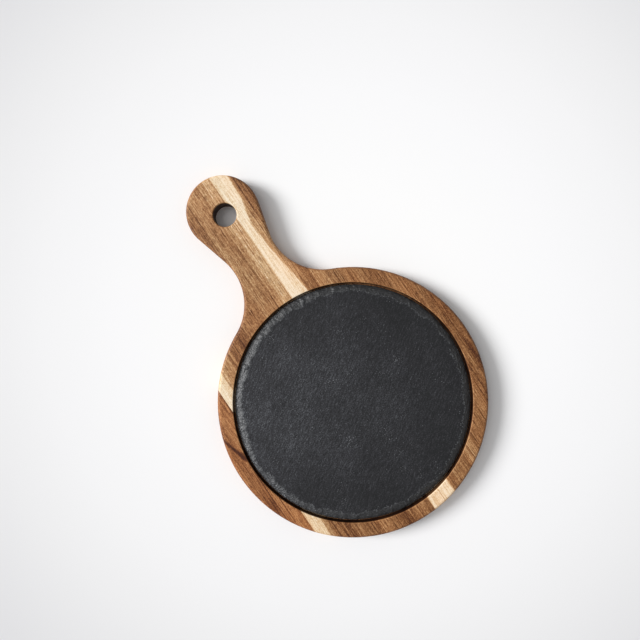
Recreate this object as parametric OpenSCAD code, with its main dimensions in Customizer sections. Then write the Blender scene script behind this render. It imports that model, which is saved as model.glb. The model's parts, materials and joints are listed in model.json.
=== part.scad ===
// Round slate serving board with a paddle handle.
// A dark slate disc with a hand-chipped rim lies loose in a round recess of a
// board glued up from six acacia staves. The staves run along the handle.
// +Z is up, +Y points along the handle, and the origin is on the underside of
// the board, below the middle of the round end.

/* [Board] */
// Width of the wooden rim around the recess
rim_w = 13.1; // [9:0.1:24]
// Thickness of the board
board_t = 15; // [13:0.5:24]
// Radius of the round-over on the upper edge
top_round_r = 2.6; // [0.6:0.1:4]
// Radius of the round-over on the lower edge
under_round_r = 1.6; // [0.6:0.1:4]

/* [Handle] */
// Length of the handle beyond the round end
handle_len = 111.5; // [98:0.5:150]
// Diameter of the rounded head at the end of the handle
head_d = 62; // [52:1:80]
// Width of the grip at its narrowest
grip_w = 42; // [32:0.5:50]
// Radius of the sweep between the round end and the grip
sweep_r = 48; // [40:0.5:60]

/* [Hanging hole] */
// Diameter of the hanging hole
hole_d = 20; // [12:0.5:28]
// Distance from the end of the handle to the middle of the hole
hole_inset = 34.5; // [28:0.5:40]
// Radius of the eased edges of the hole
hole_round_r = 1; // [0.4:0.1:2]

/* [Recess] */
// Depth of the recess under the upper face
recess_depth = 6.5; // [5:0.1:9]
// Clearance between the slate and the wall of the recess
recess_gap = 1.2; // [0.6:0.1:2.5]
// Width of the small bevel that eases the edge of the recess
recess_bevel = 0.6; // [0.3:0.1:1.5]

/* [Slate] */
// Diameter of the slate disc
slate_d = 200; // [160:1:240]
// Thickness of the slate disc
slate_t = 5; // [4:0.1:7]
// Width of the chipped rim, seen from above
chip_w = 4.8; // [2:0.1:7]
// Height of the chipped rim, down from the upper face
chip_h = 3.6; // [1.5:0.1:3.8]
// Length of rim that one chip takes
chip_pitch = 9; // [7:0.5:16]
// Radius of the hollow that one chip leaves
chip_r = 13; // [9:0.5:25]

/* [Pads] */
// Diameter of a pad under the slate
pad_d = 12; // [8:0.5:20]
// Thickness of a pad
pad_t = 1; // [0.5:0.1:1.5]
// Distance from the edge of the slate to the edge of a pad
pad_inset = 18; // [8:1:40]

/* [Hidden] */
$fn = 96;
// Overrun of every cut past the face that it leaves
over = 1;
// How far neighbouring arcs of the outline cross where they would only touch.
// The corner that this leaves is far too flat to see or feel.
arc_cross = 0.05;

// Places of the glue joints, as shares of the radius of the round end
joint_shares = [-0.77, -0.367, 0.053, 0.455, 0.827];
slate_r = slate_d / 2;
recess_r = slate_r + recess_gap;
board_r = recess_r + rim_w;
floor_z = board_t - recess_depth;

// The head's circle and the hole, on the handle's axis
head_r = head_d / 2;
head_y = board_r + handle_len - head_r;
hole_r = hole_d / 2;
hole_y = board_r + handle_len - hole_inset;

// The sweep's circle lies against the round end, and its near side is the grip.
// Where it has no room for its full radius, it is the circle that also lies
// against the head, which room_root gives from the three distances.
grip_r = grip_w / 2;
head_step = board_r - head_r;
room_root = (head_y * sqrt(board_r - grip_r)
    - sqrt((head_r - grip_r) * (pow(head_y, 2) - pow(head_step, 2)))) / head_step;
sweep = min(sweep_r, (pow(room_root, 2) - board_r - grip_r) / 2);
sweep_x = grip_r + sweep;
sweep_y = sqrt(pow(board_r + sweep - arc_cross, 2) - pow(sweep_x, 2));

// The flank is the straight line that runs from the sweep to the head.
// flank_turn is the direction that it faces, from +X.
to_sweep = norm([sweep_x, sweep_y - head_y]);
flank_turn = acos((sweep + head_r - 2 * arc_cross) / to_sweep) + atan2(sweep_y - head_y, sweep_x);
flank_dir = [cos(flank_turn), sin(flank_turn)];
flank_low = [sweep_x, sweep_y] - (sweep - arc_cross) * flank_dir;
flank_high = [0, head_y] + (head_r - arc_cross) * flank_dir;
flank_len = norm(flank_high - flank_low);

// Chips round the rim of the slate
chip_count = round(PI * slate_d / chip_pitch);
chip_step = 360 / chip_count;
chip_tilt = atan2(chip_h, chip_w);
chip_len = 4 * norm([chip_w, chip_h]);
// How far single chips stray from the regular one: bite, turn and hollow
bite_shares = rands(0.72, 1.12, chip_count, 11);
turn_shares = rands(-0.3, 0.3, chip_count, 12);
hollow_shares = rands(0.75, 1.5, chip_count, 13);
lean_shares = rands(-0.16, 0.16, chip_count, 14);

slate_z = floor_z + pad_t;
pad_ring_r = slate_r - pad_inset - pad_d / 2;

STAVE_NAMES = ["stave_outer_left", "stave_left", "stave_middle_left",
               "stave_middle_right", "stave_right", "stave_outer_right"];
STAVE_TINTS = ["#a9683c", "#b8814f", "#b37a48", "#d9b27c", "#aa7040", "#9c6236"];
PAD_NAMES = ["pad_handle_right", "pad_handle_left", "pad_far_left", "pad_far_right"];

// What a router takes off a square edge: the corner outside a quarter circle.
// The edge is at x = 0, y = 0, and the piece lies towards -x and -y.
module edge_waste(r) {
    difference() {
        translate([-r, -r]) square(r + over);
        translate([-r, -r]) circle(r);
    }
}

// The waste of both edges of the board, where the side stands at x = 0
module side_waste() {
    translate([0, board_t]) edge_waste(top_round_r);
    mirror([0, 1]) edge_waste(under_round_r);
}

// A round plate of the board's thickness with both of its edges rounded over
module round_plate(r) {
    rotate_extrude() difference() {
        square([r, board_t]);
        translate([r, 0]) side_waste();
    }
}

// A round cutter whose rims flare, so that the hole it leaves has rounded edges
module round_cutter(r, top_r, under_r) {
    rotate_extrude() {
        translate([0, -over]) square([r, board_t + 2 * over]);
        translate([r, board_t]) mirror([1, 0]) edge_waste(top_r);
        translate([r, 0]) mirror([1, 0]) mirror([0, 1]) edge_waste(under_r);
    }
}

// The grip between the round end and the head: a plate with straight flanks,
// cut in by the two sweeps and rounded over along the flanks
module grip() {
    difference() {
        linear_extrude(board_t) polygon([
            [0, 0], [sweep_x, sweep_y], flank_low, flank_high, [0, head_y],
            [-flank_high.x, flank_high.y], [-flank_low.x, flank_low.y], [-sweep_x, sweep_y]]);
        for (side = [0, 1]) mirror([side, 0, 0]) {
            translate([sweep_x, sweep_y, 0]) round_cutter(sweep, top_round_r, under_round_r);
            translate([flank_low.x, flank_low.y, 0]) rotate([0, 0, flank_turn])
                rotate([90, 0, 0]) mirror([0, 0, 1]) linear_extrude(flank_len + over) side_waste();
        }
    }
}

// The whole board before it is parted into staves
module blank() {
    difference() {
        union() {
            round_plate(board_r);
            translate([0, head_y, 0]) round_plate(head_r);
            grip();
        }
        recess();
        translate([0, hole_y, 0]) round_cutter(hole_r, hole_round_r, hole_round_r);
    }
}

// The round recess, flat-bottomed, with its upper edge eased
module recess() {
    rotate_extrude() polygon([
        [0, floor_z], [recess_r, floor_z], [recess_r, board_t - recess_bevel],
        [recess_r + recess_bevel + over, board_t + over], [0, board_t + over]]);
}

// One stave: the stretch of the blank between two glue joints
module stave(i) {
    left = i == 0 ? -board_r - over : joint_shares[i - 1] * board_r;
    right = i == len(joint_shares) ? board_r + over : joint_shares[i] * board_r;
    color(STAVE_TINTS[i]) intersection() {
        blank();
        translate([left, -board_r - over, -over])
            cube([right - left, 2 * board_r + handle_len + 2 * over, board_t + 2 * over]);
    }
}

// One chip: a shallow hollow struck off the upper edge of the slate, outwards
module chip(i) {
    hollow_r = chip_r * hollow_shares[i];
    rotate([0, 0, (i + turn_shares[i]) * chip_step])
        translate([slate_r - chip_w * bite_shares[i], 0, slate_t])
            rotate([0, 90 + chip_tilt * (1 + lean_shares[i]), 0])
                translate([-hollow_r, 0, -chip_len / 2]) cylinder(r = hollow_r, h = chip_len);
}

// The slate disc, split along its cleft and chipped to a round by hand
module slate_disc() {
    color("#3b3d40") translate([0, 0, slate_z]) difference() {
        cylinder(r = slate_r, h = slate_t);
        for (i = [0 : chip_count - 1]) chip(i);
    }
}

// One soft pad, stuck under the slate so that it neither rocks nor rattles
module pad(i) {
    color("#2a2a2a") rotate([0, 0, 45 + 90 * i]) translate([pad_ring_r, 0, floor_z])
        cylinder(d = pad_d, h = pad_t);
}

for (i = [0 : len(STAVE_NAMES) - 1])
    stave(i);
slate_disc();
for (i = [0 : len(PAD_NAMES) - 1])
    pad(i);
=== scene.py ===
# %% [markdown]
# # A slate serving board
# The real thing is a paddle-shaped board glued up from six acacia staves, with a round slate
# lying in a routed recess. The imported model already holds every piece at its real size, so this
# script only adds looks: finer meshes, the figure of the wood, the chipped edge of the slate,
# the foam of the pads, the light and the camera. The sizes come from that model wherever it can
# give them.

# %% Load the frame
import json
import math

import bmesh
import bpy
from mathutils import Matrix, Vector


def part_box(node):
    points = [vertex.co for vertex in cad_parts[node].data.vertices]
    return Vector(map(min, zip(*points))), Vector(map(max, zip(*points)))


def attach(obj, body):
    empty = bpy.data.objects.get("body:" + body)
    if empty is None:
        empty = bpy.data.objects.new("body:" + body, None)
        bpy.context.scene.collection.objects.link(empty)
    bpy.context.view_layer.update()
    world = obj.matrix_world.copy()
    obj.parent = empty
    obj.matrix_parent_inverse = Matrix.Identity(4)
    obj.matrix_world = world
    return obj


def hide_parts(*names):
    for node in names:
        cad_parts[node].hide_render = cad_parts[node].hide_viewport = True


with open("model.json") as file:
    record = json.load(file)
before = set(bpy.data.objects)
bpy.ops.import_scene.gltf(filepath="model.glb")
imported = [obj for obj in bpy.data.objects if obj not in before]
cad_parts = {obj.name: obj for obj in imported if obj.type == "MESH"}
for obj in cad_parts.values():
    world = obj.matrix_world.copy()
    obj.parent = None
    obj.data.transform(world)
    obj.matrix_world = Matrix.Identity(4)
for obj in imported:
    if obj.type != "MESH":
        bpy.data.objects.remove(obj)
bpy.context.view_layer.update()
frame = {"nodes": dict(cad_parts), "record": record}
scene = bpy.context.scene
print("CAD nodes:", ", ".join(sorted(frame["nodes"])))

# %% [markdown]
# ## Sizes
# The outline of the board is four kinds of curve: the round end, the sweep, a straight flank and
# the head. Their places follow from the boxes of the staves and from a few sizes that a box
# can't tell, which are written here in millimetres as a maker would measure them.

# %% Sizes read from the model
MM = 0.001
STAVES = ["stave_outer_left", "stave_left", "stave_middle_left",
          "stave_middle_right", "stave_right", "stave_outer_right"]
PADS = ["pad_handle_right", "pad_handle_left", "pad_far_left", "pad_far_right"]

stave_boxes = [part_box(name) for name in STAVES]
board_r = stave_boxes[-1][1].x
end_y = max(high.y for low, high in stave_boxes)
board_t = stave_boxes[0][1].z
slate_low, slate_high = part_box("slate_disc")
slate_r = slate_high.x
floor_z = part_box(PADS[0])[0].z
hole = next(mount for mount in frame["record"]["mounts"] if mount["name"] == "hang_hole")
hole_y = hole["pos_m"][1]
hole_r = hole["dims"]["r_mm"] * MM
print(f"board {2 * board_r / MM:.1f} x {(end_y + board_r) / MM:.1f} x {board_t / MM:.1f} mm,",
      f"slate {2 * slate_r / MM:.1f} mm, joints at",
      [round(high.x / MM, 1) for low, high in stave_boxes[:-1]])

# %% Sizes that no box tells
head_r = 31 * MM        # round head at the end of the handle
grip_r = 21 * MM        # half the grip's narrowest width
sweep_r = 48 * MM       # hollow curve between the round end and the grip
top_round = 2.6 * MM    # round-over of the upper edge
under_round = 1.6 * MM  # round-over of the lower edge
slate_gap = 1.2 * MM    # between the slate and the wall of the recess
recess_ease = 0.6 * MM  # sanded edge of the recess
hole_ease = 1 * MM      # sanded edges of the hole
recess_r = slate_r + slate_gap
head_y = end_y - head_r
print(f"recess {2 * recess_r / MM:.1f} mm, middle of the head {head_y / MM:.1f} mm up the board")

# %% [markdown]
# ## Helpers for nodes
# Colours are written as the eye sees them, so they are turned to linear light before a shader
# gets them. A node tree in code is mostly "make a node, set it up, plug things in", which one
# small function can do for shaders and for geometry alike.

# %% Colours and nodes
MATH, VECTOR, MIX = "ShaderNodeMath", "ShaderNodeVectorMath", "ShaderNodeMix"
NOISE, VORONOI, RAMP = "ShaderNodeTexNoise", "ShaderNodeTexVoronoi", "ShaderNodeValToRGB"
RANGE, CURVE, BUMP = "ShaderNodeMapRange", "ShaderNodeFloatCurve", "ShaderNodeBump"
SPLIT, JOIN = "ShaderNodeSeparateXYZ", "ShaderNodeCombineXYZ"


def lin(code):
    """Linear RGBA of an sRGB colour such as '#b07a4a'."""
    shares = [int(code[i:i + 2], 16) / 255 for i in (1, 3, 5)]
    return [s / 12.92 if s <= 0.04045 else ((s + 0.055) / 1.055) ** 2.4 for s in shares] + [1]


def add(tree, kind, *values, named=None, out=None, **settings):
    """Adds a node and returns its first output in use, or the one named by out.

    Values and sockets go to the inputs in use, in their order, or by name.
    """
    node = tree.nodes.new(kind)
    for key, value in settings.items():
        setattr(node, key, value)
    pairs = list(zip([s for s in node.inputs if s.enabled], values))
    pairs += [(node.inputs[key], value) for key, value in (named or {}).items()]
    for socket, value in pairs:
        if isinstance(value, bpy.types.NodeSocket):
            tree.links.new(value, socket)
        else:
            socket.default_value = value
    return next((s for s in node.outputs if s.enabled and out in (None, s.name)), None)


print("middle grey #808080 is", round(lin("#808080")[0], 3), "in linear light")

# %% [markdown]
# Nothing in nature is even, so wood and stone share two more helpers. The first makes soft random
# patches of a size in millimetres, drawn out along the grain where there is one. A noise's spots
# are about one unit wide, so the place is divided by the width wanted, or the texture's scale is 1
# over it. The second helper adds up such patterns, each with its weight.

# %% Patches and sums
def patches(tree, place, size, long=1, detail=2, rough=0.5):
    """Soft patches from -0.5 to 0.5: their width in mm, and how many times as long they are."""
    squeeze = (1 / size, 1 / size / long, 1 / size)
    scaled = add(tree, VECTOR, place, squeeze, operation="MULTIPLY")
    return add(tree, MATH, add(tree, NOISE, scaled, 1, detail, rough), 0.5, operation="SUBTRACT")


def weighed(tree, start, *parts):
    """start plus each part times its weight."""
    for socket, weight in parts:
        start = add(tree, MATH, socket, weight, start, operation="MULTIPLY_ADD")
    return start


# %% [markdown]
# ## Acacia
# Acacia boards owe their looks to the contrast between cream sapwood and brown heartwood with
# dark growth lines, and each stave shows another slice of that. A wood texture node would give
# even rings, so the bands of each stave are written down instead, as places across the board
# in millimetres with a tone from 0, a dark gum line, to 1, the palest sapwood. One shared ramp
# turns tone into colour, and noise in the same scale adds the fine streaks.

# %% The tones of acacia
ACACIA = [(0.00, lin("#46230d")), (0.12, lin("#63391b")), (0.27, lin("#845934")),
          (0.43, lin("#a4764c")), (0.59, lin("#c0976a")), (0.75, lin("#d8b488")),
          (0.90, lin("#eed8b5")), (1.00, lin("#faead2"))]

# For each stave: bands at the handle's end and at the far end, each from left to right.
# The tones sink towards the right of the board, partly the wood's own and partly painted shade
# of a light that weakens to the right.
BANDS = {
    "stave_outer_left": (
        [(-114, .42), (-109, .36), (-105, .28), (-101, .38), (-96, .44), (-92, .48), (-89.5, .42),
         (-88, .30)],
        [(-114, .37), (-108, .27), (-104, .25), (-100, .33), (-95, .41), (-91, .41), (-88, .44)]),
    "stave_left": (
        [(-88, .58), (-77.6, .50), (-76.4, .60), (-72, .54), (-69.5, .48), (-66.6, .58), (-65.2, .30),
         (-62.5, .46), (-59, .32), (-56.5, .28), (-54, .38), (-51, .30), (-47, .22), (-44.5, .24),
         (-42, .30)],
        [(-88, .60), (-76.6, .60), (-74.8, .42), (-72.6, .26), (-71, .28), (-69, .42), (-66.4, .18),
         (-64, .30), (-61.6, .14), (-59, .26), (-57.8, .34), (-56.4, .24), (-53, .36), (-50, .28),
         (-46, .31), (-42, .30)]),
    "stave_middle_left": (
        [(-42, .42), (-33, .38), (-27, .39), (-24, .34), (-22, .42), (-21.4, .34), (-20.4, .50),
         (-18, .52), (-15, .40), (-12.6, .50), (-10, .41), (-8.4, .50), (-6.8, .31), (-5.4, .52),
         (-2.4, .54), (-1.2, .57), (-0.4, .72), (0.4, .72), (1.4, .65), (3, .69), (6, .68)],
        [(-42, .30), (-40, .28), (-38, .44), (-33, .41), (-28, .34), (-22, .28), (-17.4, .15),
         (-15, .17), (-12.6, .30), (-9.2, .22), (-6.6, .46), (-3.8, .32), (-1.6, .38), (0.2, .48),
         (2, .31), (4, .34), (6, .36)]),
    "stave_middle_right": (
        [(6, .6), (14, .58), (20, .55), (22.4, .46), (23.5, .28), (24.6, .40), (27, .34), (30, .34),
         (31.6, .26), (33, .48), (36, .52), (41, .48), (45, .38), (52, .38)],
        [(6, .6), (29, .50), (31, .34), (34, .34), (38, .46), (39.6, .26), (41, .38), (46, .37),
         (50, .32), (52, .40)]),
    "stave_right": (
        [(52, .40), (57, .41), (62, .38), (68, .36), (74, .28), (79, .30), (84, .39), (88, .38),
         (92, .36), (94.5, .36)],
        [(52, .48), (56.6, .51), (58.6, .43), (61, .49), (63.6, .44), (64.6, .34), (72, .35),
         (80, .32), (84, .37), (88, .40), (92, .37), (94.5, .34)]),
    "stave_outer_right": (
        [(94.5, .34), (98, .31), (102, .34), (106, .29), (114, .27)],
        [(94.5, .27), (99, .25), (103, .30), (106, .20), (110, .24), (114, .21)]),
}

# Sapwood of a stave: all that lies left of a line given by places along and across the board
SAPWOOD = {
    "stave_left": [(-115, -77), (-85, -78.5), (-60, -76.5), (60, -77.4), (100, -78), (226, -78)],
    "stave_middle_right": [(-115, 29), (-95, 28.4), (0, 26), (95, 22.6), (107, 21.2), (118, 20),
                           (131, 18.4), (150, 15.9), (162, 15), (172, 15), (183, 17.4), (194, 20.4),
                           (205, 20.9), (226, 21)],
}

# How pale the sapwood of a stave is, and how ruddy its heartwood at the least and at the most
SAP_TONE = {"stave_left": 0.69, "stave_middle_right": 0.74}
RUDDY = dict.fromkeys(STAVES, (0, 0.5)) | {"stave_outer_left": (0.7, 1.0)}

# Single marks: middle across and along, turn from the grain in degrees, half length, half width
# and how much darker, where less than nothing is a paler patch
MARKS = {
    "stave_outer_left": [(-104.8, 24, 14, 15, 1.6, .34), (-102, 15, 10, 8, 2.4, .34),
                         (-103.5, -35, 0, 10, 3, .14)],
    "stave_middle_left": [(-12, 212, 0, 18, 16, -.08)],
    "stave_middle_right": [(29, 208, 0, 30, 8.5, .08), (5.6, 50, 0, 400, 2.3, .26),
                           (23.2, 142, 0, 38, 3.6, -.15)],
    "stave_outer_right": [(108, -22, 10, 17, 3.4, .12)],
}
print("bands per stave:", {name: len(ends[0]) for name, ends in BANDS.items()})

# %% [markdown]
# ### Growth bands
# The bands wander a little sideways along the stave and lean with depth, as growth rings do, so
# the end grain shows them as slanted lines without further work. A stave's two ends show other
# rings, so one ramp of bands turns into the other across the middle of the round end, and the
# change is frayed.

# %% Growth bands
def set_stops(socket, stops):
    """Gives the ramp behind an output its stops, each a place from 0 to 1 and a colour."""
    elements = socket.node.color_ramp.elements
    while len(elements) < len(stops):
        elements.new(1)
    for element, (place, colour) in zip(elements, stops):
        element.position = place
        element.color = colour
    return socket


def stave_edges(name):
    """Where a stave begins and ends across the board, in millimetres."""
    low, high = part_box(name)
    return low.x / MM, high.x / MM


def heartwood(tree, name, axes, wood):
    """Tone of the growth bands, the place across them, and how near the handle's end is."""
    left, right = stave_edges(name)
    depth = add(tree, MATH, axes["Z"], board_t / MM, operation="SUBTRACT")
    across = weighed(tree, axes["X"], (patches(tree, wood, 42, long=2.5), 3.4),
                     (patches(tree, wood, 9, long=4), 0.8), (depth, 0.3))
    ends = []
    for bands in BANDS[name]:
        share = add(tree, RANGE, across, left, right, 0, 1)
        stops = [((x - left) / (right - left), [tone] * 3 + [1]) for x, tone in bands]
        ends.append(set_stops(add(tree, RAMP, share), stops))
    change = weighed(tree, axes["Y"], (patches(tree, wood, 6), 120))
    nearer = add(tree, RANGE, change, -50, 50, 0, 1, interpolation_type="SMOOTHSTEP")
    return add(tree, MIX, nearer, ends[1], ends[0], data_type="FLOAT"), across, nearer


print("edges of the staves:", {name: [round(x, 1) for x in stave_edges(name)] for name in STAVES})

# %% [markdown]
# ### Streaks
# Between the bands the wood is full of fine streaks, which are its cut vessels. They are about a
# tenth of a millimetre wide, far less than a pixel of the picture, so they are drawn 0.7 to 1.3 mm
# wide to show. A face that looks along the handle cuts the vessels across, and shows them only as
# faint dots. The long dark lines are kept to the level faces, where the photograph shows them.

# %% Streaks
def facing(tree):
    """How far a face is end grain, shows the streaks and lies level, each from 0 to 1."""
    normal = add(tree, SPLIT, add(tree, "ShaderNodeTexCoord", out="Normal")).node.outputs
    end = add(tree, MATH, normal["Y"], operation="ABSOLUTE")
    end = add(tree, RANGE, end, 0.15, 0.7, 0, 1)
    shown = add(tree, RANGE, end, 0, 1, 1, 0.22)
    level = add(tree, MATH, normal["Z"], operation="ABSOLUTE")
    return end, shown, add(tree, RANGE, level, 0.3, 0.95, 0, 1)


def fine_streaks(tree, wood, shown, level):
    """Pale and dark streaks, with long dark lines where the face is level."""
    lines = add(tree, RANGE, patches(tree, wood, 1.0, long=140, detail=1), 0.14, 0.22, 0, 1)
    lines = add(tree, MATH, lines, level, operation="MULTIPLY")
    fine = weighed(tree, 0, (patches(tree, wood, 0.7, long=30, detail=3, rough=0.6), 0.85),
                   (patches(tree, wood, 0.8, long=1.7, detail=3, rough=0.6), 0.85),
                   (patches(tree, wood, 1.3, long=70), 0.32), (lines, -0.36))
    return add(tree, MATH, fine, shown, operation="MULTIPLY")


# %% [markdown]
# ### Sapwood, gum marks and glue
# The edge of the sapwood curves along the stave, which a float curve can follow. Its colour
# changes over 2 mm and wanders with the bands. Gum marks are soft ellipses that wander too.
# The glue between two staves is a dark hairline, drawn 0.6 mm wide so that it shows.

# %% Sapwood
def set_curve(socket, points):
    """Makes the float curve behind an output run straight from point to point."""
    curve = socket.node.mapping.curves[0]
    while len(curve.points) < len(points):
        curve.points.new(0.5, 0.5)
    for point, place in zip(curve.points, points):
        point.location = place
        point.handle_type = "VECTOR"
    socket.node.mapping.update()
    return socket


def sapwood(tree, name, axes, across):
    """1 where the stave is sapwood, 0 where it is heartwood."""
    left, right = stave_edges(name)
    far, near = -board_r / MM, end_y / MM
    line = [((y - far) / (near - far), (x - left) / (right - left)) for y, x in SAPWOOD[name]]
    share = add(tree, RANGE, axes["Y"], far, near, 0, 1)
    edge = set_curve(add(tree, CURVE, named={"Value": share}), line)
    edge = add(tree, RANGE, edge, 0, 1, left, right)
    past = add(tree, MATH, across, edge, operation="SUBTRACT")
    return add(tree, RANGE, past, 0.9, -1.1, 0, 1, interpolation_type="SMOOTHSTEP")


# %% Gum marks and glue joints
def with_marks(tree, name, tone, axes, across):
    """The tone with the single marks of a stave."""
    flat = add(tree, JOIN, across, axes["Y"], 0)
    for x, y, turn, half_length, half_width, darker in MARKS.get(name, []):
        near = add(tree, "ShaderNodeMapping", flat, (x, y, 0), (0, 0, math.radians(turn)),
                   (half_width, half_length, 1), vector_type="TEXTURE")
        reach = add(tree, VECTOR, near, operation="LENGTH")
        mark = add(tree, RANGE, reach, 1.2, 0.2, 0, 1, interpolation_type="SMOOTHSTEP")
        tone = weighed(tree, tone, (mark, -darker))
    return tone


def with_glue(tree, name, tone, axes):
    """The tone with a dark line at each glued edge of a stave."""
    for edge in stave_edges(name):
        if abs(edge) < board_r / MM - 1:
            gap = add(tree, MATH, axes["X"], edge, operation="SUBTRACT")
            gap = add(tree, MATH, gap, operation="ABSOLUTE")
            line = add(tree, RANGE, gap, 0.15, 0.45, 0.16, 0)
            tone = add(tree, MATH, tone, line, operation="SUBTRACT")
    return tone


# %% The whole figure of a stave
def figure(tree, name, axes, wood):
    """The tone of a stave all over, where it is sapwood, and how its faces lie."""
    end, shown, level = facing(tree)
    tone, across, nearer = heartwood(tree, name, axes, wood)
    fine = fine_streaks(tree, wood, shown, level)
    tone = weighed(tree, tone, (fine, 1), (patches(tree, wood, 4.5, long=60), 0.14),
                   (patches(tree, wood, 5, long=0.5, detail=3), 0.11), (end, -0.05))
    sap = 0
    if name in SAPWOOD:
        sap = sapwood(tree, name, axes, across)
        # Painted shade: the sapwood's sides are darker than its level faces
        pale = weighed(tree, SAP_TONE[name], (level, 0.15), (nearer, 0.05),
                       (patches(tree, wood, 3.5, long=60), 0.22),
                       (patches(tree, wood, 1.1, long=60), 0.30), (fine, 0.70))
        tone = add(tree, MIX, sap, tone, pale, data_type="FLOAT")
    tone = with_marks(tree, name, tone, axes, across)
    return with_glue(tree, name, tone, axes), sap, shown, level


# %% [markdown]
# ### The finished wood
# Open pores are what tells acacia from plastic: they are short dark dashes along the grain, cut
# into the bump as well, fewer and shallower in the sapwood. Real ones are 0.2 mm wide and are
# drawn twice as wide to show. The walls of the hole and of the recess, and the recess floor, are
# darkened with painted shade, and the cutter left fine round grooves in the recess. A rubbed oil
# finish gives all of it a soft sheen. The sides get painted shade that makes them a little darker
# than the level faces, and the sanded edge of the recess is painted paler, partly as wear and
# partly as a painted highlight. Oil and wood both bend light at about the shader's own IOR of 1.5,
# and the open surface halves the gloss that a film of lacquer would have.

# %% Both ends of a material
def new_material(name):
    """An empty material, its node tree and the object's coordinates in millimetres."""
    material = bpy.data.materials.new(name)
    material.use_nodes = True
    tree = material.node_tree
    tree.nodes.clear()
    place = add(tree, "ShaderNodeTexCoord", out="Object")
    return material, tree, add(tree, VECTOR, place, named={"Scale": 1 / MM}, operation="SCALE")


def show(tree, **inputs):
    """Ends a material in one Principled shader with these inputs."""
    named = {key.replace("_", " "): value for key, value in inputs.items()}
    add(tree, "ShaderNodeOutputMaterial", add(tree, "ShaderNodeBsdfPrincipled", named=named))


# %% Acacia, planed, sanded and oiled
NEXT_STAVE = 37.0   # mm through the patches from one stave's wood to the next one's
GROOVE_TURN = 3     # radians of the grooves' wave in a millimetre, so they are 2.1 mm apart
RUDDY_TINT = (1.10, 0.90, 0.78, 1)   # a ruddy cloud shows more red, and less green and blue
PORE_TINT = lin("#a28976")
# Painted shade for the cut walls of the recess and the hole
PAINTED_SHADE_TINT = lin("#695d55")


def acacia(name, seed):
    """Oiled acacia: the eye knows it by pale sapwood, dark bands, open pores and a soft sheen."""
    material, tree, place = new_material("oiled acacia " + name.replace("_", " "))
    axes = add(tree, SPLIT, place).node.outputs
    wood = add(tree, VECTOR, place, (0, 0, NEXT_STAVE * seed), operation="ADD")
    tone, sap, shown, level = figure(tree, name, axes, wood)

    # Painted shade makes the sides darker than the level faces, and the sanded edge of the recess is
    # painted paler, partly wear and partly a painted highlight
    painted_side_shade = add(tree, RANGE, level, 0, 1, -0.13, 0)
    wear_and_highlight = add(tree, "ShaderNodeAttribute", attribute_name="wear_and_highlight", out="Fac")
    tone = weighed(tree, painted_side_shade, (tone, 1), (wear_and_highlight, 0.12))
    colour = set_stops(add(tree, RAMP, tone), ACACIA)
    ruddy = add(tree, RANGE, patches(tree, wood, 22, long=4), -0.12, 0.18, *RUDDY[name])
    colour = add(tree, MIX, ruddy, colour, RUDDY_TINT, data_type="RGBA", blend_type="MULTIPLY")

    # Pores, few in the sapwood and hardly seen in the end grain
    pores = add(tree, RANGE, patches(tree, wood, 0.42, long=16, detail=0), 0.10, 0.16, 0, 1)
    deep = add(tree, MATH, add(tree, RANGE, sap, 0, 1, 0.66, 0.12), shown, operation="MULTIPLY")
    pores = add(tree, MATH, pores, deep, operation="MULTIPLY")
    colour = add(tree, MIX, pores, colour, PORE_TINT, data_type="RGBA", blend_type="MULTIPLY")

    # Painted shade on the cut walls and the recess floor, and the cutter's grooves round the middle of
    # the recess
    cut = add(tree, "ShaderNodeAttribute", attribute_name="cut", out="Fac")
    colour = add(tree, MIX, cut, colour, PAINTED_SHADE_TINT, data_type="RGBA", blend_type="MULTIPLY")
    level_place = add(tree, VECTOR, place, (1, 1, 0), operation="MULTIPLY")
    grooves = add(tree, VECTOR, level_place, operation="LENGTH")
    grooves = add(tree, MATH, grooves, GROOVE_TURN, operation="MULTIPLY")
    grooves = add(tree, MATH, grooves, operation="SINE")
    grooves = add(tree, MATH, grooves, cut, operation="MULTIPLY")

    height = weighed(tree, patches(tree, wood, 1.0, long=60), (pores, -2), (grooves, 0.35))
    bump = add(tree, BUMP, named={"Strength": 0.5, "Distance": 0.05 * MM, "Height": height})
    rough = weighed(tree, 0.55, (patches(tree, wood, 2, long=30), 0.2), (pores, 0.25))
    show(tree, Base_Color=colour, Roughness=rough, Normal=bump, Specular_IOR_Level=0.3)
    return material


woods = {name: acacia(name, i + 1) for i, name in enumerate(STAVES)}
print("materials:", ", ".join(m.name for m in woods.values()))

# %% [markdown]
# ## The staves
# The whole board is drawn once as a closed "blank" and then sawn into staves, as the real one is
# glued first and cut to its outline afterwards. The outline is a chain of arcs that meet without
# a corner, so each point can be worked out with the direction that faces out of the wood. Moving
# the points in along that direction gives the rounded edges: every loop of the edge is the same
# outline, drawn in by a little more.

# %% The outline of the board
POINT_STEP = 1.6 * MM    # spacing of the points along the outline
SAME_PLACE = 0.01 * MM   # points closer than this are the same


def arc(centre, radius, start, stop, hollow=False):
    """Points on an arc between two angles, with the directions that face out of the wood."""
    count = max(2, round(abs(stop - start) * radius / POINT_STEP))
    turns = [start + (stop - start) * i / count for i in range(count + 1)]
    rays = [Vector((math.cos(turn), math.sin(turn))) for turn in turns]
    return [(Vector(centre) + ray * radius, -ray if hollow else ray) for ray in rays]


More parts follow.
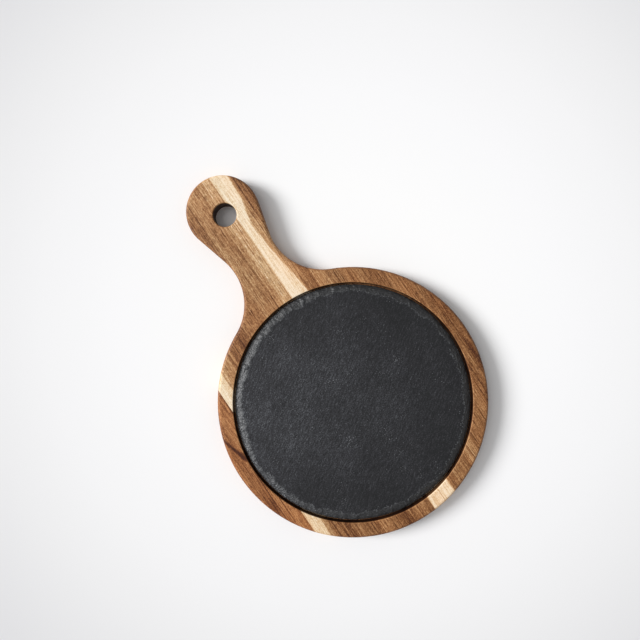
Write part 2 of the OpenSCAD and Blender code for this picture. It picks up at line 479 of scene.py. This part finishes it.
def board_outline():
    """The outline once round, anticlockwise from the far end, as (point, way out) pairs."""
    sweep_x = grip_r + sweep_r
    sweep_y = math.sqrt((board_r + sweep_r) ** 2 - sweep_x ** 2)
    lean = math.atan2(sweep_y, sweep_x)
    drop = sweep_y - head_y
    flank = math.acos((sweep_r + head_r) / math.hypot(sweep_x, drop)) + math.atan2(drop, sweep_x)
    right = arc((0, 0), board_r, -math.pi / 2, lean)
    right += arc((sweep_x, sweep_y), sweep_r, lean + math.pi, flank + math.pi, hollow=True)
    right += arc((0, head_y), head_r, flank, math.pi / 2)
    # Where two arcs meet, both have a point, and only one of the two is kept
    kept = [pair for i, pair in enumerate(right)
            if not i or (pair[0] - right[i - 1][0]).length > SAME_PLACE]
    left = [(Vector((-point.x, point.y)), Vector((-out.x, out.y))) for point, out in kept[1:-1]]
    return kept + left[::-1]


outline = board_outline()
print(len(outline), "points round the board")

# %% Rounded edges, and rings of points
def rounded(radius, steps, flat):
    """A rounded edge from the side to the flat face, as (way in, way along the side) pairs."""
    turns = [math.pi / 2 * i / steps for i in range(steps + 1)]
    edge = [(radius * (1 - math.cos(a)), radius * (1 - math.sin(a))) for a in turns]
    return edge + [(radius + flat, 0)]


def join_loops(bm, loops):
    """Walls of quads between neighbouring closed loops of vertices."""
    for low, high in zip(loops, loops[1:]):
        for i in range(len(low)):
            bm.faces.new((low[i - 1], low[i], high[i], high[i - 1]))


def cap(bm, *loops):
    """A flat face that fills the space between closed loops of vertices."""
    edges = [bm.edges.get((loop[i - 1], loop[i])) for loop in loops for i in range(len(loop))]
    bmesh.ops.triangle_fill(bm, use_beauty=True, use_dissolve=False, edges=edges)


def ring(bm, centre_y, radius, z, count, cut=0, wear_and_highlight=0):
    """A closed loop of vertices on a circle, with marks for painted shade on cut wood and for the
    sanded edge, painted paler as wear and highlight.
    """
    turns = [2 * math.pi * i / count for i in range(count)]
    loop = [bm.verts.new((radius * math.cos(a), centre_y + radius * math.sin(a), z)) for a in turns]
    for vert in loop:
        vert[bm.verts.layers.float["cut"]] = cut
        vert[bm.verts.layers.float["wear_and_highlight"]] = wear_and_highlight
    return loop


print("upper edge, mm in and down:",
      [(round(way_in / MM, 2), round(down / MM, 2)) for way_in, down in rounded(top_round, 3, 0)])

# %% A closed blank of the board
EDGE_STRIP = 0.3 * MM    # flat strip beside a rounded edge, which keeps the shading of the face flat
PAINTED_SHADE_FADE = 0.5 * MM    # how far below the edge the painted shade on the cut walls is full
RECESS_POINTS, HOLE_POINTS = 400, 96


def blank():
    """The board before it is sawn into staves."""
    bm = bmesh.new()
    for mark in ("cut", "wear_and_highlight"):
        bm.verts.layers.float.new(mark)
    upper = [(way_in, board_t - down) for way_in, down in rounded(top_round, 7, EDGE_STRIP)]
    under = [(way_in, up) for way_in, up in reversed(rounded(under_round, 5, EDGE_STRIP))]
    side = [[bm.verts.new((*(point - out * way_in), z)) for point, out in outline]
            for way_in, z in under + upper]

    recess = []
    for way_in, down in reversed(rounded(recess_ease, 4, EDGE_STRIP)):
        recess.append(ring(bm, 0, recess_r + way_in, board_t - down, RECESS_POINTS, wear_and_highlight=int(down > 0)))
    # Painted shade on the wall of the recess, and on its floor at 0.45
    for z in (board_t - recess_ease - PAINTED_SHADE_FADE, floor_z):
        recess.append(ring(bm, 0, recess_r, z, RECESS_POINTS, cut=1))
    recess.append(ring(bm, 0, recess_r - EDGE_STRIP, floor_z, RECESS_POINTS, cut=0.45))

    lip = rounded(hole_ease, 5, EDGE_STRIP)
    bore = [ring(bm, hole_y, hole_r + way_in, board_t - down, HOLE_POINTS)
            for way_in, down in reversed(lip)]
    # Painted shade on the wall of the hole
    for z in (board_t - hole_ease - PAINTED_SHADE_FADE, hole_ease + PAINTED_SHADE_FADE):
        bore.append(ring(bm, hole_y, hole_r, z, HOLE_POINTS, cut=1))
    bore += [ring(bm, hole_y, hole_r + way_in, up, HOLE_POINTS) for way_in, up in lip]

    for loops in (side, recess, bore):
        join_loops(bm, loops)
    cap(bm, side[-1], recess[0], bore[0])
    cap(bm, side[0], bore[-1])
    cap(bm, recess[-1])
    bmesh.ops.recalc_face_normals(bm, faces=bm.faces)
    return bm


board = blank()
print("blank:", len(board.faces), "faces,", sum(not e.is_manifold for e in board.edges),
      f"open edges, {board.calc_volume() / MM ** 3 / 1000:.1f} cm3")

# %% Saw the blank into staves
def saw(bm, x, keep_left):
    """Cuts the blank along the grain at x and closes the cut, leaving one side of it."""
    normal = (1, 0, 0) if keep_left else (-1, 0, 0)
    cut = bmesh.ops.bisect_plane(bm, geom=[*bm.verts, *bm.edges, *bm.faces], dist=0.001 * MM,
                                 plane_co=(x, 0, 0), plane_no=normal, clear_outer=True)
    edges = [e for e in cut["geom_cut"] if isinstance(e, bmesh.types.BMEdge) and e.is_boundary]
    bmesh.ops.triangle_fill(bm, use_beauty=True, use_dissolve=False, edges=edges, normal=normal)


def finish_mesh(piece_name, bm, material, corner=30):
    """Turns a bmesh into an object with smooth faces and sharp edges over the corner's angle."""
    bmesh.ops.recalc_face_normals(bm, faces=bm.faces)
    for face in bm.faces:
        face.smooth = True
    for edge in bm.edges:
        edge.smooth = len(edge.link_faces) == 2 and edge.calc_face_angle() < math.radians(corner)
    mesh = bpy.data.meshes.new(piece_name)
    bm.to_mesh(mesh)
    mesh.materials.append(material)
    piece = bpy.data.objects.new(piece_name, mesh)
    scene.collection.objects.link(piece)
    return piece


for name, (low, high) in zip(STAVES, stave_boxes):
    bm = board.copy()
    if low.x > -board_r + MM:
        saw(bm, low.x, keep_left=False)
    if high.x < board_r - MM:
        saw(bm, high.x, keep_left=True)
    open_edges = sum(not e.is_manifold for e in bm.edges)
    piece = finish_mesh(name.replace("stave", "acacia"), bm, woods[name])
    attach(piece, "board")
    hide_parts(name)
    print(piece.name, len(piece.data.polygons), "faces,", open_edges, "open edges,",
          f"volume {bm.calc_volume(signed=True) / MM ** 3 / 1000:.1f} cm3")
    bm.free()
board.free()

# %% [markdown]
# ## The slate
# The slate is split along its cleavage and nibbled to a round with a cutter, which leaves a rim
# of small overlapping scars. Sculpting them would work once, for one disc. The scars follow a
# rule, though, so Geometry Nodes can make them for any size: a flat grid is bent into a polar
# sheet that runs from the middle over the rim and back below, and its height is lowered where a
# scar reaches. A Voronoi texture read on the rim's circle gives every chip its own cell, so the
# chips close up all round, and a finer one over the bevel breaks it into facets.

# %% The slate's own sizes, in millimetres
SLATE_INPUTS = [
    ("Radius", "NodeSocketFloat", slate_r / MM),
    ("Thickness", "NodeSocketFloat", (slate_high.z - slate_low.z) / MM),
    ("Seat", "NodeSocketFloat", slate_low.z / MM),
    ("Rim Width", "NodeSocketFloat", 6.9),
    ("Rim Drop", "NodeSocketFloat", 3.3),
    ("Chip Pitch", "NodeSocketFloat", 9.0),
    ("Flake Pitch", "NodeSocketFloat", 3.0),
    ("Layer", "NodeSocketFloat", 0.75),
    ("Relief", "NodeSocketFloat", 0.22),
    ("Seed", "NodeSocketFloat", 3.0),
    ("Spokes", "NodeSocketInt", 900),
    ("Rings", "NodeSocketInt", 101),
    ("Stone", "NodeSocketMaterial", None),
]
CLEAVAGE = math.radians(33)   # way of the fine streaks on the cleft face, from +X


def new_tree(name, inputs):
    """A geometry tree with these named inputs, and its input sockets by name."""
    tree = bpy.data.node_groups.new(name, "GeometryNodeTree")
    tree.interface.new_socket("Start", in_out="INPUT", socket_type="NodeSocketGeometry")
    for label, kind, value in inputs:
        socket = tree.interface.new_socket(label, in_out="INPUT", socket_type=kind)
        if value is not None:
            socket.default_value = value
    tree.interface.new_socket("Result", in_out="OUTPUT", socket_type="NodeSocketGeometry")
    return tree, tree.nodes.new("NodeGroupInput").outputs


print("inputs:", {label: round(value, 2) for label, kind, value in SLATE_INPUTS if value})

# %% [markdown]
# ### A round sheet
# The grid's X becomes the way round the disc, and its Y the way from the middle over the face,
# over the rim, down the side and back below. Two curves tell how far out and how high each ring
# lies. The rim takes a tenth of the radius but 40 of the 100 steps, because its chips need them.
# All lengths are in millimetres.

# %% A round sheet over the slate
tree, given = new_tree("chipped slate", SLATE_INPUTS)
columns = add(tree, MATH, given["Spokes"], 1, operation="ADD")
grid = add(tree, "GeometryNodeMeshGrid", 1, 1, columns, given["Rings"])
spot = add(tree, SPLIT, add(tree, "GeometryNodeInputPosition")).node.outputs
turn = add(tree, MATH, spot["X"], 2 * math.pi, math.pi, operation="MULTIPLY_ADD")
along = add(tree, MATH, spot["Y"], 0.5, operation="ADD")
cos = add(tree, MATH, turn, operation="COSINE")
sin = add(tree, MATH, turn, operation="SINE")
ray = add(tree, JOIN, cos, sin, 0)

# 52 steps run over the face, 40 over the rim, 4 down the side and 4 back below
out_share = set_curve(add(tree, CURVE, named={"Value": along}),
                      [(0, 0), (0.52, 0.90), (0.92, 1), (0.96, 1), (1, 0)])
up_share = set_curve(add(tree, CURVE, named={"Value": along}),
                     [(0, 1), (0.92, 1), (0.96, 0), (1, 0)])
reach = add(tree, MATH, out_share, given["Radius"], operation="MULTIPLY")
inward = add(tree, MATH, given["Radius"], reach, operation="SUBTRACT")
flat = add(tree, VECTOR, ray, named={"Scale": reach}, operation="SCALE")
print("nodes of the sheet:", len(tree.nodes))

# %% [markdown]
# ### Chips
# A blow takes off one chip, deepest in its middle. The Voronoi texture gives the distance from the
# middle of a cell and a random value for each, which are the chip's hollow and how hard the blow
# was. The stone breaks in layers, so the scar comes down in ledges, and its surface is gritty.

# %% How far in each chip bites
rim = add(tree, VECTOR, ray, named={"Scale": given["Radius"]}, operation="SCALE")
rim = add(tree, VECTOR, rim, add(tree, JOIN, 0, 0, given["Seed"]), operation="ADD")
per_chip = add(tree, MATH, 1, given["Chip Pitch"], operation="DIVIDE")
chip = add(tree, VORONOI, rim, per_chip).node.outputs
chip_random = add(tree, SPLIT, chip["Color"])
chip_hollow = add(tree, MATH, chip["Distance"], 2, operation="POWER")
bite = weighed(tree, 0.96, (chip_hollow, -0.50), (chip_random, 0.32))

per_flake = add(tree, MATH, 1, given["Flake Pitch"], operation="DIVIDE")
flake = add(tree, VORONOI, rim, per_flake)
width = weighed(tree, 0.8, (bite, given["Rim Width"]), (flake, -0.8),
                (patches(tree, flat, 1.2), 2.6))
past = add(tree, MATH, width, inward, operation="SUBTRACT")
share = add(tree, MATH, past, width, operation="DIVIDE", use_clamp=True)
print("nodes with the chips:", len(tree.nodes))

# %% How deep the scars lie
slope = add(tree, MATH, share, 1.15, operation="POWER")
depth = weighed(tree, 0.92, (chip_random, 0.12))
depth = add(tree, MATH, depth, given["Rim Drop"], operation="MULTIPLY")
drop = add(tree, MATH, slope, depth, operation="MULTIPLY")

# Ledges where the scar crosses the layers of the stone
layers = add(tree, MATH, drop, given["Layer"], operation="DIVIDE")
ledge = add(tree, MATH, weighed(tree, layers, (patches(tree, flat, 2.4), 1.5)), operation="FLOOR")
ledge = add(tree, MATH, ledge, 0, operation="MAXIMUM")
ledge = add(tree, MATH, ledge, given["Layer"], operation="MULTIPLY")
drop = add(tree, MIX, 0.6, drop, ledge, data_type="FLOAT")

# Facets 2 mm wide and grit on the broken part
broken = add(tree, RANGE, past, 0, 2, 0, 1)
facet = add(tree, SPLIT, add(tree, VORONOI, flat, 1 / 2.1, out="Color"))
tilt = add(tree, MATH, weighed(tree, -0.25, (facet, 0.5)), broken, operation="MULTIPLY")
grit = add(tree, MATH, patches(tree, flat, 0.9, detail=3), broken, operation="MULTIPLY")
drop = add(tree, MATH, weighed(tree, drop, (tilt, 0.8), (grit, 0.9)), 0, operation="MAXIMUM")
print("nodes with the scars:", len(tree.nodes))

# %% [markdown]
# ### Cleft face
# Slate splits along its cleavage, and the split face shows slow waves, long fine ridges that all
# run one way, and a few ledges where the split jumped to the next layer. They are a tenth or two
# of a millimetre high, which is enough for a low lamp to find them.

# %% The cleft face, and where each point lies
swung = add(tree, "ShaderNodeVectorRotate", flat, named={"Angle": -CLEAVAGE},
            rotation_type="Z_AXIS")
drawn = add(tree, VECTOR, swung, (0.22, 1, 1), operation="MULTIPLY")
jumps = add(tree, MATH, patches(tree, drawn, 9, detail=4), 14, operation="MULTIPLY")
jumps = add(tree, MATH, jumps, operation="FLOOR")
relief = weighed(tree, 0, (patches(tree, flat, 30), 1.0),
                 (patches(tree, drawn, 1.6, detail=3), 0.5), (jumps, 0.09))
relief = add(tree, MATH, relief, given["Relief"], operation="MULTIPLY")

top = add(tree, MATH, given["Thickness"], drop, operation="SUBTRACT")
top = add(tree, MATH, top, relief, operation="ADD")
up = add(tree, MATH, top, up_share, operation="MULTIPLY")
height = add(tree, MATH, up, given["Seat"], operation="ADD")
print("nodes with the face:", len(tree.nodes))

# %% Layers in the side, and the finished slate
# The layers in the side are about 11 mm long round the rim and half a millimetre high
layered = add(tree, JOIN, cos, sin, up)
layered = add(tree, VECTOR, layered, (9, 9, 2.2), operation="MULTIPLY")
notch = weighed(tree, 0.28, (flake, 0.25), (patches(tree, layered, 1), 0.5))
edge = add(tree, RANGE, inward, 2.5, 0, 0, 1)
notch = add(tree, MATH, notch, edge, operation="MULTIPLY")
outer = add(tree, MATH, reach, notch, operation="SUBTRACT")
place = add(tree, VECTOR, ray, named={"Scale": outer}, operation="SCALE")
place = add(tree, VECTOR, place, add(tree, JOIN, 0, 0, height), operation="ADD")
place = add(tree, VECTOR, place, named={"Scale": MM}, operation="SCALE")

# Mark the broken stone for the material, down to the lower edge of the side
fresh = weighed(tree, past, (patches(tree, flat, 1.2, detail=3), 4.5))
fresh = add(tree, RANGE, fresh, 0, 1.8, 0, 1)
above = add(tree, MATH, along, 0.958, operation="LESS_THAN")
fresh = add(tree, MATH, fresh, above, operation="MULTIPLY")
mesh = add(tree, "GeometryNodeStoreNamedAttribute", grid,
           named={"Name": "broken", "Value": fresh}, data_type="FLOAT", domain="POINT")

# Bend the sheet, and close its seam and its two poles
mesh = add(tree, "GeometryNodeSetPosition", mesh, named={"Position": place})
mesh = add(tree, "GeometryNodeMergeByDistance", mesh, named={"Distance": 0.002 * MM})
mesh = add(tree, "GeometryNodeSetShadeSmooth", mesh)
mesh = add(tree, "GeometryNodeRealizeInstances", mesh)
mesh = add(tree, "GeometryNodeSetMaterial", mesh, named={"Material": given["Stone"]})
add(tree, "NodeGroupOutput", mesh)
slate_tree = tree
print("nodes of the whole slate:", len(slate_tree.nodes))

# %% [markdown]
# ### Stone
# Slate is a dark blue-grey, nearly matt stone. Its cleft face carries fine streaks along the grain
# of the stone, and tiny bright grains of mica. Where it is freshly broken, the crushed stone is
# much paler and rougher, and that pale ring is what the eye knows a hand-cut slate by. The tree
# above has marked that part as an attribute, so the colour follows the scars exactly. Real grains
# are a tenth of a millimetre wide. They are drawn about a pixel of the picture wide, 0.9 mm, or
# they wouldn't show.

# %% Colours of slate
CLEFT = [(0, lin("#17181a")), (0.42, lin("#2a2a2d")), (0.75, lin("#3b3c40")), (1, lin("#55575b"))]
CRUSHED = [(0, lin("#161719")), (0.5, lin("#2b2c2f")), (0.75, lin("#4b4d50")), (0.95, lin("#8f9193"))]
MICA, BRUISE = lin("#77797c"), lin("#7c7e81")
ARRIS = [(0.05, lin("#000000")), (0.3, lin("#ffffff")), (0.8, lin("#000000"))]
PAINTED_LIGHT_MIDDLE = (-87, 49, 0)         # in mm, the middle of the painted light that makes the face palest
PAINTED_HIGHLIGHT_SIDE = (-0.985, 0.17, 0)   # the way to the side of the rim where the scars carry a painted highlight


def cleft_face(tree, place):
    """Colour of the cleft face, and its streaks for the bump."""
    swung = add(tree, "ShaderNodeVectorRotate", place, named={"Angle": -CLEAVAGE},
                rotation_type="Z_AXIS")
    drawn = add(tree, VECTOR, swung, (0.25, 1, 1), operation="MULTIPLY")
    # Painted light: the cleft face is paler towards the lamp's side and darker away from it
    painted_light = add(tree, RANGE, add(tree, VECTOR, place, PAINTED_LIGHT_MIDDLE, operation="DISTANCE"),
                  0, 160, 0.30, -0.2)
    # The face is darker towards its rim, from 45 to 95 mm out
    darker_outwards = add(tree, RANGE, add(tree, VECTOR, place, operation="LENGTH"), 45, 95, 0, -0.13)
    clouds = add(tree, RANGE, patches(tree, place, 24, detail=3), -0.2, 0.2, -0.12, 0.12)
    streaks = add(tree, RANGE, patches(tree, drawn, 1.3, detail=4, rough=0.6), -0.25, 0.25, -0.42, 0.42)
    grains = add(tree, RANGE, patches(tree, place, 0.9), -0.25, 0.25, -0.56, 0.56)
    tone = weighed(tree, 0.42, (painted_light, 1), (darker_outwards, 1), (clouds, 1), (streaks, 1), (grains, 1))
    colour = set_stops(add(tree, RAMP, tone), CLEFT)

    # Mica glints in loose swarms
    mica = weighed(tree, patches(tree, place, 0.9, detail=0), (patches(tree, place, 15), 0.8))
    mica = add(tree, RANGE, mica, 0.35, 0.43, 0, 0.85)
    return add(tree, MIX, mica, colour, MICA, data_type="RGBA"), streaks


def scars(tree, place):
    """Colour of the freshly broken stone: crushed and pale, with a painted highlight that makes it
    paler on one side and duller away from it.
    """
    # Painted highlight: the scars are paler on the lit side of the rim and darker on the far side
    painted_highlight = add(tree, RANGE, add(tree, VECTOR, place, PAINTED_HIGHLIGHT_SIDE, operation="DOT_PRODUCT"),
              -10, 95, -0.45, 0.10)
    crushed = add(tree, RANGE, patches(tree, place, 0.9, detail=4, rough=0.65), -0.2, 0.2, 0, 1)
    return set_stops(add(tree, RAMP, add(tree, MATH, crushed, painted_highlight, operation="ADD")), CRUSHED)


# %% Slate, cleft and chipped
def slate_stone():
    """Slate: a dark matt cleft face inside a ring of pale granular scars."""
    material, tree, place = new_material("cleft and chipped slate")
    broken = add(tree, "ShaderNodeAttribute", attribute_name="broken", out="Fac")
    face, streaks = cleft_face(tree, place)
    colour = add(tree, MIX, broken, face, scars(tree, place), data_type="RGBA")

    # The arris, where the scars begin, is bruised in spots
    arris = set_stops(add(tree, RAMP, broken), ARRIS)
    bruised = add(tree, RANGE, patches(tree, place, 1.8), -0.04, 0.10, 0, 0.48)
    bruised = add(tree, MATH, bruised, arris, operation="MULTIPLY")
    colour = add(tree, MIX, bruised, colour, BRUISE, data_type="RGBA")

    # Broken facets are a little glossier than the dusty face, with grit half a millimetre wide
    rough = add(tree, RANGE, broken, 0, 1, 0.70, 0.52)
    shine = add(tree, RANGE, broken, 0, 1, 0.30, 0.75)
    grit = add(tree, NOISE, place, 1 / 0.5, 5, 0.7)
    height = add(tree, MATH, grit, broken, streaks, operation="MULTIPLY_ADD")
    bump = add(tree, BUMP, named={"Strength": 0.6, "Distance": 0.12 * MM, "Height": height})
    show(tree, Base_Color=colour, Roughness=rough, Normal=bump, Specular_IOR_Level=shine)
    return material


# %% Grow the slate
def grow(name, tree, **chosen):
    """Runs a tree on an empty object and keeps the result as its plain mesh."""
    piece = bpy.data.objects.new(name, bpy.data.meshes.new(name))
    scene.collection.objects.link(piece)
    modifier = piece.modifiers.new("grow", "NODES")
    modifier.node_group = tree
    for item in tree.interface.items_tree:
        if item.in_out == "INPUT" and item.name in chosen:
            modifier[item.identifier] = chosen[item.name]
    graph = bpy.context.evaluated_depsgraph_get()
    mesh = bpy.data.meshes.new_from_object(piece.evaluated_get(graph), depsgraph=graph)
    piece.modifiers.remove(modifier)
    piece.data = mesh
    mesh.name = name
    return piece


slate = grow("chipped_slate", slate_tree, Stone=slate_stone())
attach(slate, "slate_insert")
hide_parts("slate_disc")
slate_top = max(vert.co.z for vert in slate.data.vertices)
print("slate:", len(slate.data.polygons), "faces, top at", round(slate_top / MM, 2), "mm")

# %% [markdown]
# ## The pads
# Four discs of foam rubber under the slate keep it from rattling. They are stamped from a sheet,
# and their sides bulge a little because the slate presses on them. One tree shapes a disc and
# puts it on the corners of a square, which is what Geometry Nodes are for. The foam's pores are a
# third of a millimetre wide, as in the real sheet, and show only close by.

# %% Foam pads
pad_boxes = [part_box(name) for name in PADS]
pad_low, pad_high = pad_boxes[0]
pad_ring = ((pad_low + pad_high) / 2).xy.length


def foam():
    """Black foam rubber: dead matt, with pinprick pores."""
    material, tree, place = new_material("black foam rubber")
    pores = add(tree, VORONOI, place, 1 / 0.35)
    colour = set_stops(add(tree, RAMP, pores), [(0.1, lin("#121212")), (0.5, lin("#2b2b2c"))])
    bump = add(tree, BUMP, named={"Strength": 0.7, "Distance": 0.1 * MM, "Height": pores})
    show(tree, Base_Color=colour, Roughness=0.95, Normal=bump, Specular_IOR_Level=0.2)
    return material


def pads_tree():
    """A bulging disc on each corner of a square."""
    tree, given = new_tree("foam pads", [
        ("Pad Radius", "NodeSocketFloat", (pad_high.x - pad_low.x) / 2),
        ("Pad Thickness", "NodeSocketFloat", pad_high.z - pad_low.z),
        ("Ring Radius", "NodeSocketFloat", pad_ring),
        ("Middle Height", "NodeSocketFloat", (pad_high.z + pad_low.z) / 2),
        ("Squeeze", "NodeSocketFloat", 0.07),
        ("Foam", "NodeSocketMaterial", None),
    ])
    around, down, inside = 64, 8, 3
    disc = add(tree, "GeometryNodeMeshCylinder", around, down, inside,
               given["Pad Radius"], given["Pad Thickness"])

    # The sides bulge as a parabola: full width halfway up, narrower by the squeeze at both faces
    place = add(tree, "GeometryNodeInputPosition")
    level = add(tree, SPLIT, place).node.outputs["Z"]
    half = add(tree, MATH, given["Pad Thickness"], 0.5, operation="MULTIPLY")
    away = add(tree, MATH, add(tree, MATH, level, half, operation="DIVIDE"), 2, operation="POWER")
    narrower = add(tree, MATH, given["Squeeze"], -1, operation="MULTIPLY")
    drawn = add(tree, MATH, away, narrower, 1, operation="MULTIPLY_ADD")
    bulged = add(tree, VECTOR, place, add(tree, JOIN, drawn, drawn, 1), operation="MULTIPLY")
    disc = add(tree, "GeometryNodeSetPosition", disc, named={"Position": bulged})
    disc = add(tree, "GeometryNodeSetShadeSmooth", disc)
    corners = add(tree, "GeometryNodeMeshCircle", 4, given["Ring Radius"])
    lift = add(tree, JOIN, 0, 0, given["Middle Height"])
    corners = add(tree, "GeometryNodeTransform", corners,
                  named={"Translation": lift, "Rotation": (0, 0, math.pi / 4)})
    placed = add(tree, "GeometryNodeInstanceOnPoints", corners, named={"Instance": disc})
    mesh = add(tree, "GeometryNodeRealizeInstances", placed)
    mesh = add(tree, "GeometryNodeSetMaterial", mesh, named={"Material": given["Foam"]})
    add(tree, "NodeGroupOutput", mesh)
    return tree


pads = grow("foam_pads", pads_tree(), Foam=foam())
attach(pads, "slate_insert")
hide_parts(*PADS)
print("pads:", len(pads.data.polygons), "faces")

# %% [markdown]
# ## Floor, light and camera
# The photograph looks straight down from close above, so the camera is a plain perspective one,
# turned so that the handle points up and to the left. A broad lamp shines low from the left of
# the picture, a weaker one higher, and the world fills the shadows. Their shares add up to 1, so
# a level surface gets just the light at which its colour renders as written. The pale floor fades
# a little outwards.

# %% Where the picture looks
TURN = Matrix.Rotation(math.radians(-34.4), 3, "Z")   # the picture's upright, turned on the board
PHOTO_SPAN = 538 * MM                # what the picture's width shows at the top of the board
CAMERA_HEIGHT = 450 * MM
AIM = Vector((16.2, 73.0, 0)) * MM   # the middle of the picture
SENSOR = 36

camera = bpy.data.objects.new("camera", bpy.data.cameras.new("camera"))
camera.data.sensor_width = SENSOR
camera.data.lens = SENSOR * (CAMERA_HEIGHT - board_t) / PHOTO_SPAN
camera.location = AIM + Vector((0, 0, CAMERA_HEIGHT))
camera.rotation_euler = TURN.to_euler()
scene.collection.objects.link(camera)
scene.camera = camera
print(f"camera {CAMERA_HEIGHT / MM:.0f} mm up, lens {camera.data.lens:.1f} mm")

# %% Floor
PAINTED_POOL_MIDDLE = Vector((17, 9, 0)) * MM   # the middle of the pool of light painted on the floor, from the middle of the picture
FLOOR_REACH = 20                   # metres from the middle to the sides, far out of sight
FLOOR_GAP = 0.05 * MM              # keeps the floor's face apart from the board's underside
# The floor's colour at distances from the middle of the painted pool of light, in metres
FLOOR_TONES = [(0.00, "#fefefe"), (0.11, "#fdfdfd"), (0.19, "#fafafb"), (0.26, "#f5f5f6"),
               (0.32, "#eeeeef"), (0.40, "#e2e2e4"), (0.60, "#dadadc")]


def floor():
    """A large pale sheet just under the board, with a painted pool of light fading outwards from its
    brightest place.
    """
    bm = bmesh.new()
    bmesh.ops.create_grid(bm, x_segments=4, y_segments=4, size=FLOOR_REACH)
    for vert in bm.verts:
        vert.co.z = -FLOOR_GAP
    material, tree, place = new_material("matt white table top")
    centre = (AIM + TURN @ PAINTED_POOL_MIDDLE) / MM
    away = add(tree, VECTOR, place, centre, operation="DISTANCE")
    metres = add(tree, MATH, away, MM, operation="MULTIPLY")
    colour = set_stops(add(tree, RAMP, metres), [(stop, lin(code)) for stop, code in FLOOR_TONES])
    show(tree, Base_Color=colour, Roughness=1, Specular_IOR_Level=0)
    return finish_mesh("table_top", bm, material)


floor()

# %% Light
FILL = 0.30      # the world's share of the light on a level surface
HORIZON = 0.70   # how bright the walls of the room look, like the far floor
WALL_TOP = 0.35   # how steeply upwards, as the Z of its way, a look just passes over the walls
CEILING = 0.85    # and from where on it sees only the plain ceiling
# Each lamp: its turn from the picture's right, its height, its spread and its share of the light
LAMPS = {
    "low lamp": (172, 32, 24, 0.57),
    "high lamp": (172, 60, 34, 0.13),
}

for name, (turn, height, spread, share) in LAMPS.items():
    ray = Matrix.Rotation(math.radians(turn), 3, "Z") @ Matrix.Rotation(math.radians(-height), 3, "Y")
    to_lamp = TURN @ ray @ Vector((1, 0, 0))
    lamp = bpy.data.objects.new(name, bpy.data.lights.new(name, "SUN"))
    lamp.data.energy = share * math.pi / to_lamp.z
    lamp.data.angle = math.radians(spread)
    lamp.rotation_euler = to_lamp.to_track_quat("Z", "Y").to_euler()
    scene.collection.objects.link(lamp)
    print(name, f"{lamp.data.energy:.2f} W/m2,", [round(c, 2) for c in to_lamp])

# %% [markdown]
# The world lights the object evenly from all around. Only the camera, and what mirrors the world
# or lets it shine through, gets the pale walls of a room instead.

# %% World
world = bpy.data.worlds.new("pale room")
world.use_nodes = True
room = world.node_tree
room.nodes.clear()
path = add(room, "ShaderNodeLightPath").node.outputs
seen = path["Is Camera Ray"]
for other in ("Is Glossy Ray", "Is Transmission Ray"):
    seen = add(room, MATH, seen, path[other], operation="MAXIMUM")
rise = add(room, SPLIT, add(room, "ShaderNodeTexCoord", out="Generated")).node.outputs["Z"]
backdrop = add(room, RANGE, rise, WALL_TOP, CEILING, HORIZON, FILL)
strength = add(room, MIX, seen, FILL, backdrop, data_type="FLOAT")
background = add(room, "ShaderNodeBackground", (1, 1, 1, 1), strength)
add(room, "ShaderNodeOutputWorld", background)
scene.world = world
scene.view_settings.view_transform = "Standard"
print("light on a level surface:", FILL + sum(lamp[-1] for lamp in LAMPS.values()))
